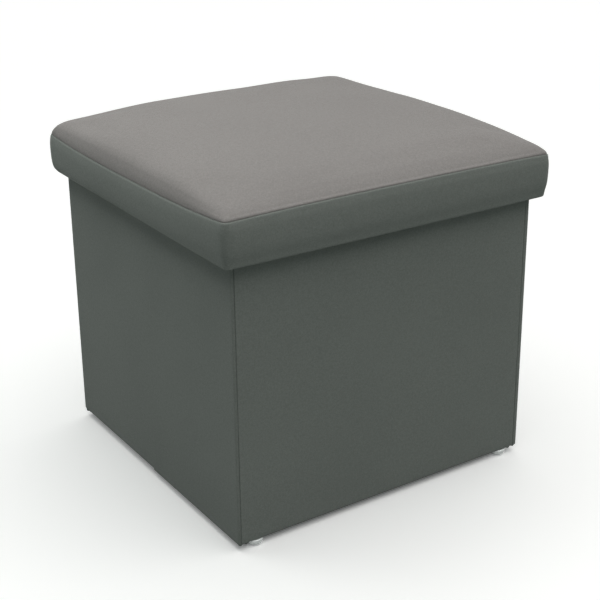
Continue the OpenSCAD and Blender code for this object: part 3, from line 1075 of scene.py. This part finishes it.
class Wall:
    """One wall: where its outer face lies, which way it runs and its size."""

    def __init__(self, name, body, outward):
        low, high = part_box(name + "_cover")
        self.name, self.body = name, body
        self.outward = Vector(outward)
        self.along = Vector((0, 0, 1)).cross(self.outward)
        middle = (low + high) / 2
        size = high - low
        self.length = abs(size.dot(self.along))
        self.depth = abs(size.dot(self.outward))
        self.height = size.z
        face = middle + self.outward * (self.depth / 2)
        self.centre = Vector((face.x, face.y, middle.z))
        self.low, self.high = low, high

    def place(self, u, z, depth):
        """Points of the wall from their place along it and up it from its middle, and their depth in it."""
        u, z, depth = np.broadcast_arrays(np.asarray(u, float), z, depth)
        out = np.array(self.centre) + u[..., None] * np.array(self.along)
        out = out - depth[..., None] * np.array(self.outward)
        return out + z[..., None] * np.array((0, 0, 1.0))


WALLS = [
    Wall("back", "back_wall", (0, 1, 0)),
    Wall("left_rear", "left_rear", (-1, 0, 0)),
    Wall("left_front", "left_front", (-1, 0, 0)),
    Wall("right_rear", "right_rear", (1, 0, 0)),
    Wall("right_front", "right_front", (1, 0, 0)),
    Wall("front", "front_wall", (0, -1, 0)),
]
WALL = {wall.name: wall for wall in WALLS}
PIVOT_Y = -WALL["left_front"].low.y


def make_pocket(wall, end_inset):
    """The pocket that holds a wall's board: its edges all round and its hem on the inner side."""
    under = CLOTH_T + SLEEVE_GAP
    inner = wall.depth
    half_l, half_h = wall.length / 2 - end_inset, wall.height / 2 - SLEEVE_GAP
    fold = POCKET_ROUND
    profile = [(HEM_WIDTH, inner - 0.9 * MM), (HEM_WIDTH, inner - 0.3 * MM), (HEM_WIDTH - 0.4 * MM, inner)]
    profile += [(HEM_WIDTH * 0.6, inner), (fold, inner)]
    for a in (0.5, 1.05, math.pi / 2):
        profile.append((fold * (1 - math.sin(a)), inner - fold * (1 - math.cos(a))))
    profile += [(0.0, inner * 0.5), (0.0, under + 1.2 * MM), (0.5 * MM, under + 0.3 * MM), (1.4 * MM, under)]
    loops = []
    slack = Waves(SEED + 20 + len(wall.name), 30 * MM, 70 * MM)
    for inset, depth in profile:
        loop = rounded_loop(half_l - inset, half_h - inset, WALL_CORNER, WALL_LOOP)
        spread = wall.place(loop[:, 0], loop[:, 1], depth)
        if 0 < inset <= HEM_WIDTH and depth > inner - 0.5 * MM:
            depth = depth - 0.25 * MM * (1 + slack.at(spread)) * (inset / HEM_WIDTH)
        loops.append(wall.place(loop[:, 0], loop[:, 1], depth))
    points = np.concatenate(loops)
    count = 4 * WALL_LOOP
    faces = quads(len(loops), count, True)
    faces.append(tuple(range(len(points) - count, len(points))))
    piece = new_piece(wall.name + "_pocket_cloth", points, faces)
    return thicken(piece, CLOTH_T * 0.8)


def make_wall_lining(wall, end_inset):
    """Lining on the inner side of a wall, slack where it is sewn under the hem."""
    half_l = wall.length / 2 - end_inset - HEM_WIDTH + LINING_TUCK
    half_h = wall.height / 2 - HEM_WIDTH + LINING_TUCK
    columns, rows = round(2 * half_l / LINING_STEP), round(2 * half_h / LINING_STEP)
    u = np.linspace(half_l, -half_l, columns + 1)
    z = np.linspace(-half_h, half_h, rows + 1)
    u, z = np.meshgrid(u, z)
    edge = np.minimum(half_l - np.abs(u), half_h - np.abs(z))
    spread = wall.place(u, z, 0.0)
    broad = Waves(SEED + 40 + len(wall.name), 60 * MM, 160 * MM).at(spread)
    pucker = Waves(SEED + 41 + len(wall.name), 9 * MM, 22 * MM).at(spread)
    lift = np.clip((edge - LINING_TUCK) / SLACK_RUN, 0, 1)
    lift = lift * lift * (3 - 2 * lift)
    pull = np.exp(-(((edge - PUCKER_AT) / PUCKER_RUN) ** 2))
    depth = wall.depth - 1.0 * MM + lift * (0.55 + 0.25 * broad) * MM + pull * 0.14 * pucker * MM
    points = wall.place(u, z, depth).reshape(-1, 3)
    piece = new_piece(wall.name + "_lining_cloth", points, quads(rows + 1, columns + 1, False))
    return thicken(piece, LINING_T)


def walk_path(corners, step, depth=0.0):
    """Points along a plan path that turns left, moved inwards by depth.

    Each corner is (x, y, radius, finer). finer is the step of the stretch after it, where it needs its own.
    """
    least = 0.1 * MM
    places = [Vector(corner[:2]) for corner in corners]
    radii = [corner[2] for corner in corners]
    ahead = [(b - a).normalized() for a, b in zip(places, places[1:])]
    inward = [Vector((-d.y, d.x)) for d in ahead]
    sides = [(inward[0], inward[0]), *zip(inward, inward[1:]), (inward[-1], inward[-1])]
    moved = [place + (a + b) * depth / (1 + a.dot(b)) for place, (a, b) in zip(places, sides)]
    made = []
    for i, here in enumerate(moved):
        if radii[i]:
            reach = max(radii[i] - depth, least)
            before, after = ahead[i - 1] * reach, ahead[i] * reach
            made += [here - before * (1 - k / 6) ** 2 + after * (k / 6) ** 2 for k in range(7)]
        else:
            made.append(here)
        if i + 1 < len(moved):
            run = (places[i + 1] - places[i]).length - radii[i] - radii[i + 1]
            parts = max(1, round(run / (corners[i][3] or step)))
            start = made[-1]
            end = moved[i + 1] - ahead[i] * (max(radii[i + 1] - depth, least) if radii[i + 1] else 0)
            made += [start.lerp(end, k / parts) for k in range(1, parts)]
    return np.array([tuple(p) for p in made])


def edge_rows(low, high, rows):
    """Heights and depths of a face cloth's rows: rolled over at its lower and upper edges."""
    made = [(low + EDGE_RETURN, 2 * EDGE_BEAD)]
    for k in range(7):
        a = math.pi * k / 6
        made.append((low + EDGE_BEAD * (1 - math.sin(a)), EDGE_BEAD * (1 + math.cos(a))))
    start, end = low + EDGE_BEAD, high - EDGE_BEAD
    made += [(start + (end - start) * k / rows, 0.0) for k in range(1, rows)]
    for k in range(7):
        a = math.pi * k / 6
        made.append((high - EDGE_BEAD * (1 - math.sin(a)), EDGE_BEAD * (1 - math.cos(a))))
    made.append((high - EDGE_RETURN, 2 * EDGE_BEAD))
    return made


def make_face_cloth(name, corners, low, high, seed, calm, groove_at=None):
    """Outer cloth over a stretch of wall. calm(points) is 1 where the cloth lies dead flat."""
    plan = walk_path(corners, FACE_STEP)
    ahead = np.gradient(plan, axis=0)
    outward = np.stack([ahead[:, 1], -ahead[:, 0]], 1)
    outward /= np.linalg.norm(outward, axis=1)[:, None]
    rows = edge_rows(low, high, round((high - low) / FACE_STEP))
    broad = Waves(seed, 90 * MM, 240 * MM)
    short = Waves(seed + 1, 28 * MM, 60 * MM)
    groove = 0.0
    if groove_at is not None:
        groove = GROOVE_DEPTH * np.exp(-(((plan[:, 0] - groove_at) / GROOVE_WIDTH) ** 2))
    points = []
    for z, depth in rows:
        flat = at_height(plan, z)
        slack = (LONG_SLACK * broad.at(flat) + SHORT_SLACK * short.at(flat) + EVEN_SLACK) * MM
        slack = slack * (1 - calm(flat))
        edge = min(z - low, high - z)
        slack = slack * np.clip(edge / SLACK_RUN, 0, 1) + groove
        points.append(at_height(walk_path(corners, FACE_STEP, depth) - outward * slack[:, None], z))
    piece = new_piece(name, np.concatenate(points), quads(len(rows), len(plan), False))
    return thicken(piece, CLOTH_T)


def near_line(axis, value, reach):
    """How calm a cloth is near a plane: 1 on it, 0 beyond reach."""
    def calm(points):
        away = np.clip(np.abs(points[:, axis] - value) / reach, 0, 1)
        return 1 - away * away * (3 - 2 * away)
    return calm


def calm_at(*lines):
    def calm(points):
        return np.max([line(points) for line in lines], axis=0)
    return calm


def make_face_cloths():
    """The outer cloths, each with the bodies it lies on and the length it is cut to."""
    x, y = WALL["front"].high.x, -WALL["front"].low.y
    low, high = WALL["front"].low.z, WALL["front"].high.z
    rear_low = WALL["left_rear"].low.z
    roll, fine, inside = SEAM_ROLL, FINE_STEP, SEAM_DEPTH
    corners_y = [near_line(1, side * y, CALM_CORNER) for side in (-1, 1)]
    calm_side = calm_at(near_line(1, 0.0, CALM_CREASE), *corners_y)
    calm_face = calm_at(*(near_line(0, side * x, CALM_CORNER) for side in (-1, 1)))

    # The seams lie on the front and back faces, a little way in from the corners
    seam_x = x - SEAM_FROM_CORNER
    side_x, face_x = seam_x + SEAM_HALF_GAP, seam_x - SEAM_HALF_GAP
    left_front = make_face_cloth("left_front_face_cloth", [
        (-x, 0.0, 0, None), (-x, -y, CORNER_ROUND, None),
        (-side_x, -y, roll, fine), (-side_x, -y + inside, 0, None),
    ], low, high, SEED + 60, calm_side)
    left_rear = make_face_cloth("left_rear_face_cloth", [
        (-side_x, y - inside, 0, fine), (-side_x, y, roll, fine),
        (-x, y, CORNER_ROUND, None), (-x, 0.0, 0, None),
    ], rear_low, high, SEED + 62, calm_side)
    right_rear = make_face_cloth("right_rear_face_cloth", [
        (x, 0.0, 0, None), (x, y, CORNER_ROUND, None),
        (side_x, y, roll, fine), (side_x, y - inside, 0, None),
    ], rear_low, high, SEED + 64, calm_side)
    right_front = make_face_cloth("right_front_face_cloth", [
        (x - inside, -PIVOT_Y, 0, fine), (x, -PIVOT_Y, roll, None), (x, 0.0, 0, None),
    ], low, high, SEED + 66, calm_side)
    end_y = WALL["front"].high.y - 0.1 * MM
    groove_x = x - RIGHT_SEAM_FROM_CORNER
    front = make_face_cloth("front_face_cloth", [
        (-face_x, -y + inside, 0, fine), (-face_x, -y, roll, None),
        (groove_x - 3 * MM, -y, 0, GROOVE_STEP), (groove_x + 2.5 * MM, -y, 0, fine),
        (x, -y, CORNER_ROUND, None), (x, end_y, roll, fine), (x - inside, end_y, 0, None),
    ], low, high, SEED + 68, calm_face, groove_x)
    back = make_face_cloth("back_face_cloth", [
        (face_x, y - inside, 0, fine), (face_x, y, roll, None),
        (-face_x, y, roll, fine), (-face_x, y - inside, 0, None),
    ], low, high, SEED + 70, calm_face)

    half = WALL["left_front"].length
    return (
        (left_front, ("left_front", "front_wall"), half + CORNER_CUT),
        (left_rear, ("left_rear", "back_wall"), half + CORNER_CUT),
        (right_rear, ("right_rear", "back_wall"), half + CORNER_CUT),
        (right_front, ("right_front",), half + OPEN_END_CUT),
        (front, ("front_wall",), 2 * x + FRONT_RETURN_CUT),
        (back, ("back_wall",), 2 * x),
    )


def face_cloths():
    """Outer cloths on their bodies. Those that go round a corner are baked in place and ride on no body."""
    for piece, bodies, cut in make_face_cloths():
        finish_piece(piece, SHADE_GREENED_CLOTH)
        if len(bodies) == 2:
            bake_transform(piece)
        else:
            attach(piece, bodies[0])


def pockets_and_linings():
    for wall in WALLS:
        ends = CLOTH_T + SLEEVE_GAP if wall.name in ("front", "back") else 0.0
        pocket = finish_piece(make_pocket(wall, ends), SHADE_GREENED_CLOTH, wall.body)
        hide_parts(wall.name + "_cover")
        lining = finish_piece(make_wall_lining(wall, ends), LINING, wall.body)
        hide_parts(wall.name + "_lining")
        half_l, half_h = wall.length / 2 - ends - STITCH_INSET, wall.height / 2 - STITCH_INSET
        hem = rounded_loop(half_l, half_h, WALL_CORNER, WALL_LOOP)
        path = wall.place(hem[:, 0], hem[:, 1], wall.depth - 0.2 * MM)
        sew(wall.name + "_hem_stitches", [(path, True)], GREY_STITCHES, wall.body)


# ---------------------------------------------------------------- feet


def make_feet(name, node):
    """Domed glides with a flat spot to stand on, turned round one profile."""
    low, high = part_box(node)
    radius = (high.y - low.y) / 2
    tall = high.z - low.z
    dome_h, run = tall - FOOT_RIM, radius - FOOT_SPOT
    rows = [(FOOT_SPOT * 0.6, 0.0), (FOOT_SPOT * 0.9, 0.02 * MM)]
    for k in range(1, FOOT_STEPS + 1):
        a = math.pi / 2 * k / FOOT_STEPS
        rows.append((FOOT_SPOT + run * math.sin(a), dome_h * (1 - math.cos(a))))
    rows += [(radius, tall - 0.9 * MM), (radius - 0.1 * MM, tall - 0.35 * MM)]
    rows += [(radius - 0.5 * MM, tall - 0.05 * MM), (radius - 1.5 * MM, tall)]
    around = 48
    points, faces = [], []
    for side in (-1, 1):
        centre = Vector(((high.x - radius) * side, (low.y + high.y) / 2, low.z))
        first = len(points) + 1
        last = first + (len(rows) - 1) * around
        points.append(tuple(centre))
        for r, z in rows:
            for k in range(around):
                a = 2 * math.pi * k / around
                points.append((centre.x + r * math.cos(a), centre.y + r * math.sin(a), centre.z + z))
        points.append((centre.x, centre.y, centre.z + tall))
        faces += [tuple(v + first for v in face) for face in quads(len(rows), around, True)]
        for k in range(around):
            n = (k + 1) % around
            faces.append((first - 1, first + n, first + k))
            faces.append((last + around, last + k, last + n))
    return new_piece(name, points, faces)


def make_tucks(wall):
    """Folded corners of a wall's cloth, which hang a little below its lower edge next to its ends."""
    around, rings = 12, 7
    points, faces = [], []
    for end in (-1, 1):
        for from_end, half_run, drop in TUCKS:
            first = len(points)
            along = end * (wall.length / 2 - from_end * MM)
            for ring in range(rings + 1):
                b = math.pi * ring / rings
                a = np.arange(around) * 2 * math.pi / around
                u = along + half_run * MM * math.cos(b)
                depth = TUCK_BACK + TUCK_THICK * math.sin(b) * np.cos(a)
                z = -wall.height / 2 + 0.5 * MM + (drop + 0.5) * MM * math.sin(b) * np.sin(a)
                points += list(wall.place(np.full(around, u), z, depth))
            faces += [tuple(v + first for v in face[::-1]) for face in quads(rings + 1, around, True)]
    return new_piece(wall.name + "_corner_tucks", points, faces)


def tucks():
    for name in ("front", "back"):
        finish_piece(make_tucks(WALL[name]), SHADE_GREENED_CLOTH, WALL[name].body)


def feet():
    for side in ("front", "back"):
        node = side + "_feet"
        piece = finish_piece(make_feet(side + "_glides", node), FOOT, side + "_wall")
        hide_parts(node)


# ---------------------------------------------------------------- base


def make_base_cloth():
    low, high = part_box("base_cover")
    centre = (low + high) / 2
    half_w, half_d = (high.x - low.x) / 2, (high.y - low.y) / 2
    rings = 36
    top = high.z - BASE_SKIN
    sag = Waves(SEED + 80, 40 * MM, 110 * MM)
    rows = [(0.9 * MM, low.z + 0.05 * MM), (0.3 * MM, low.z + 0.15 * MM), (0.0, low.z + 0.7 * MM)]
    rows.append((0.0, top - BASE_FOLD))
    for a in (0.4, 0.8, 1.2, math.pi / 2):
        rows.append((BASE_FOLD * (1 - math.cos(a)), top - BASE_FOLD * (1 - math.sin(a))))
    loops = []
    for inset, z in rows:
        loops.append(at_height(rounded_loop(half_w - inset, half_d - inset, BASE_CORNER, 2 * rings), z))

    def lie(inset, loop):
        return top + 0.28 * MM * sag.at(at_height(loop, 0)) * min(1, inset / (15 * MM))

    cap = cap_rings(half_w - BASE_FOLD, half_d - BASE_FOLD, BASE_CORNER, 0.0, rings, lie)
    piece = loops_and_cap("base_cloth", loops, cap)
    points = coordinates(piece.data)
    points[:, :2] += (centre.x, centre.y)
    set_coordinates(piece.data, points)
    return thicken(piece, 0.6 * MM)


def strip_along(name, line, half_w, thickness, segments=24):
    """A flat ribbon or tape across X along a line of (y, z) points, thick under its outer side.

    A negative half width turns it over.
    """
    u = np.linspace(-half_w, half_w, segments + 1)
    line = np.array(line)
    points = [np.column_stack([u, np.full(len(u), y), np.full(len(u), z)]) for y, z in line]
    piece = new_piece(name, np.concatenate(points), quads(len(line), segments + 1, False))
    return thicken(piece, thickness)


def base_cloth():
    cloth = finish_piece(make_base_cloth(), LINING, "base")
    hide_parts("base_cover")


tape_low, tape_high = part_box("base_hinge_tape")
ribbon_low, ribbon_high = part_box("base_pull_ribbon")
TAPE_T = tape_high.z - tape_low.z
TAPE_SKIN_Y = WALL["back"].high.y + TAPE_T + TAPE_OFF


def hinge_tape():
    """Tape under the base, round the lower edge of the back wall and a little way up its outer face."""
    low_y, axis_y, z = tape_low.y, tape_high.y, tape_low.z
    line = [(low_y + (axis_y - low_y - 2 * MM) * k / 9, z) for k in range(10)]
    for k in range(1, 7):
        a = math.pi / 2 * k / 6
        line.append((TAPE_SKIN_Y - TAPE_TURN + TAPE_TURN * math.sin(a), z + TAPE_TURN * (1 - math.cos(a))))
    line += [(TAPE_SKIN_Y, z + TAPE_TURN + TAPE_UP * k / 5) for k in range(1, 6)]
    tape = strip_along("base_hinge_webbing", line, -tape_high.x, TAPE_T * 0.9)
    finish_piece(tape, WEBBING)
    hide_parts("base_hinge_tape")
    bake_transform(tape)


def pull_ribbon():
    """Ribbon stitched down at both ends, standing up between them."""
    length = ribbon_high.y - ribbon_low.y
    line = []
    for k in range(25):
        t = k / 24
        stand = math.sin(math.pi * min(max((t - 0.14) / 0.72, 0), 1)) ** 2
        line.append((ribbon_low.y + length * t, ribbon_low.z + 0.3 * MM + RIBBON_RISE * stand))
    ribbon = strip_along("base_pull_webbing", line, ribbon_high.x, 0.7 * MM, 10)
    finish_piece(ribbon, WEBBING, "base")
    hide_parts("base_pull_ribbon")


def base_stitches():
    """Stitches that hold the base's cloth, its tape, its ribbon and the two catch strips."""
    low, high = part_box("base_cover")
    edge = STITCH_INSET
    cloth_z = high.z - 0.3 * MM
    paths = [rectangle((low.x + edge, low.y + edge), (high.x - edge, high.y - edge), cloth_z)]

    across = tape_high.x - 3 * MM
    for y in (tape_low.y + 3 * MM, tape_low.y + 9 * MM):
        paths.append(([(-across, y, tape_low.z), (across, y, tape_low.z)], False))

    ribbon_z = ribbon_low.z + 0.35 * MM
    half_w = ribbon_high.x - 2 * MM
    for y in (ribbon_low.y + 1.5 * MM, ribbon_high.y - 9 * MM):
        paths.append(rectangle((-half_w, y), (half_w, y + 7.5 * MM), ribbon_z))

    paths += strip_edges("base_catch_strip", -1)
    sew("base_stitches", paths, BLACK_STITCHES, "base")
    sew("front_strip_stitches", strip_edges("front_catch_strip", 1), BLACK_STITCHES, "front_wall")

    up = tape_low.z + 18.5 * MM
    path = [(-across, TAPE_SKIN_Y, up), (across, TAPE_SKIN_Y, up)]
    sew("back_tape_stitches", [(path, False)], BLACK_STITCHES, "back_wall")


def strip_edges(node, side):
    """Paths along the long edges of a catch strip, on its face towards the front (-1) or the back (1)."""
    low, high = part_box(node)
    y = low.y if side < 0 else high.y
    ends = low.x + 1.5 * MM, high.x - 1.5 * MM
    return [([(ends[0], y, z), (ends[1], y, z)], False) for z in (low.z + 0.8 * MM, high.z - 0.8 * MM)]


def staples():
    """Staples that hold the liner up against the lid's board."""
    low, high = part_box("lid_staples")
    x, y = high.x - STAPLE_WIRE / 2, high.y - STAPLE_WIRE / 2
    z = low.z + STAPLE_WIRE / 2 + 0.05 * MM
    step = 2 * x / STAPLES_PER_EDGE
    end = x - step / 2
    rows = [([(-end, side * y, z), (end, side * y, z)], False) for side in (-1, 1)]
    end = end * y / x
    rows += [([(side * x, -end, z), (side * x, end, z)], False) for side in (-1, 1)]
    piece = repeat_on("lid_wire_staples", rows, STAPLES, {"Pitch": step * 0.99, "Leg": high.z - z})
    finish_piece(piece, STEEL, "lid")
    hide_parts("lid_staples")


def plain_nodes():
    """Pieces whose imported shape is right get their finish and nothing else."""
    finishes = {"board": BOARD, "rim": BOARD, "nails": STEEL, "strip": HOOKS}
    for name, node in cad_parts.items():
        material = next((finish for word, finish in finishes.items() if word in name.split("_")), None)
        if material:
            node.data.materials.clear()
            node.data.materials.append(material)


# ---------------------------------------------------------------- studio

CAMERA_TARGET = Vector((0.0107, 0.0, 0.2065))
CAMERA_AZIMUTH = -33.48
CAMERA_ELEVATION = 20.03
CAMERA_ROLL = -0.54
CAMERA_DISTANCE = 1.351
CAMERA_LENS = 74.46
CAMERA_SHIFT_Y = -0.0667


def camera():
    a, e, r = (math.radians(v) for v in (CAMERA_AZIMUTH, CAMERA_ELEVATION, CAMERA_ROLL))
    back = Vector((math.sin(a) * math.cos(e), -math.cos(a) * math.cos(e), math.sin(e)))
    right = Vector((math.cos(a), math.sin(a), 0))
    up = back.cross(right)
    rolled = right * math.cos(r) + up * math.sin(r)
    lens = bpy.data.cameras.new("camera")
    lens.lens = CAMERA_LENS
    lens.sensor_width = 36
    lens.shift_y = CAMERA_SHIFT_Y
    view = put("camera", lens)
    turn = Matrix((rolled, back.cross(rolled), back)).transposed()
    view.matrix_world = Matrix.Translation(CAMERA_TARGET + back * CAMERA_DISTANCE) @ turn.to_4x4()
    bpy.context.scene.camera = view


FLOOR_SEEN = (1.0, 1.0, 1.0, 1)
FLOOR_BOUNCE = (0.22, 0.24, 0.23, 1)
FLOOR_GLOW = 0.2
UNDER_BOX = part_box("base_cover")[1].x
UNDER_BOX_FADE = 11 * MM
FLOOR_REACH = 30.0


def seen_and_lit(tree, seen, lit):
    """One shader for what the camera sees itself, in a reflection or through glass, another for the rest."""
    path = add_node(tree, "ShaderNodeLightPath")
    glossy = maths(tree, "MAXIMUM", path.outputs["Is Camera Ray"], path.outputs["Is Glossy Ray"])
    direct = maths(tree, "MAXIMUM", glossy, path.outputs["Is Transmission Ray"])
    layers = {0: direct, 1: lit.outputs[0], 2: seen.outputs[0]}
    return add_node(tree, "ShaderNodeMixShader", layers).outputs[0]


def floor():
    mesh = bpy.data.meshes.new("floor")
    corners = [(x * FLOOR_REACH, y * FLOOR_REACH, 0) for x, y in ((-1, -1), (1, -1), (1, 1), (-1, 1))]
    mesh.from_pydata(corners, [], [(0, 1, 2, 3)])
    material = bpy.data.materials.new("pale floor")
    tree = empty_tree(material)
    pale = add_node(tree, "ShaderNodeBsdfDiffuse", {"Color": FLOOR_SEEN})
    place = add_node(tree, "ShaderNodeTexCoord").outputs["Object"]
    away = add_node(tree, "ShaderNodeSeparateXYZ", {0: vectors(tree, "ABSOLUTE", place)})
    away = maths(tree, "MAXIMUM", away.outputs["X"], away.outputs["Y"])
    strength = scale_range(tree, away, UNDER_BOX, UNDER_BOX + UNDER_BOX_FADE, 0.0, FLOOR_GLOW)
    glow = add_node(tree, "ShaderNodeEmission", {"Strength": strength})
    seen = add_node(tree, "ShaderNodeAddShader", {0: pale.outputs[0], 1: glow.outputs[0]})
    bounce = add_node(tree, "ShaderNodeBsdfDiffuse", {"Color": FLOOR_BOUNCE})
    add_node(tree, "ShaderNodeOutputMaterial", {"Surface": seen_and_lit(tree, seen, bounce)})
    mesh.materials.append(material)
    put("floor", mesh)


FILL_COLOR = (0.84, 1.0, 0.97, 1)
FILL_STRENGTH = 0.128
KEY_COLOR = (1.0, 0.985, 0.965)
KEY_STRENGTH = 0.71 * math.pi
KEY_ANGLE = 90.0
KEY_TILT = (4.5, 9.0)
SIDE_COLOR = (0.94, 1.0, 0.97)
SIDE_STRENGTH = 0.92
SIDE_SIZE = 0.3
SIDE_PLACE = Vector((-0.42, 0.13, 0.98))
SIDE_AIM = Vector((-0.18, 0.05, 0.24))


def lamp(name, kind, strength, color):
    light = bpy.data.lights.new(name, kind)
    light.energy = strength
    light.color = color
    return put(name, light)


def lights():
    world = bpy.data.worlds.new("studio")
    tree = empty_tree(world)
    fill = add_node(tree, "ShaderNodeBackground", {"Color": FILL_COLOR, "Strength": FILL_STRENGTH})
    white = add_node(tree, "ShaderNodeBackground", {"Color": (1, 1, 1, 1), "Strength": 1.0})
    add_node(tree, "ShaderNodeOutputWorld", {"Surface": seen_and_lit(tree, white, fill)})
    bpy.context.scene.world = world

    key = lamp("overhead softbox", "SUN", KEY_STRENGTH, KEY_COLOR)
    key.data.angle = math.radians(KEY_ANGLE)
    key.rotation_euler = tuple(math.radians(v) for v in (*KEY_TILT, 0.0))
    side = lamp("side softbox", "AREA", SIDE_STRENGTH, SIDE_COLOR)
    side.data.size = SIDE_SIZE
    side.location = SIDE_PLACE
    side.rotation_euler = (SIDE_AIM - SIDE_PLACE).to_track_quat("-Z", "Y").to_euler()
    side.visible_camera = False


camera()
lights()
floor()
lid()
face_cloths()
pockets_and_linings()
tucks()
feet()
base_cloth()
hinge_tape()
pull_ribbon()
base_stitches()
staples()
plain_nodes()

bpy.context.scene.view_settings.view_transform = "Standard"
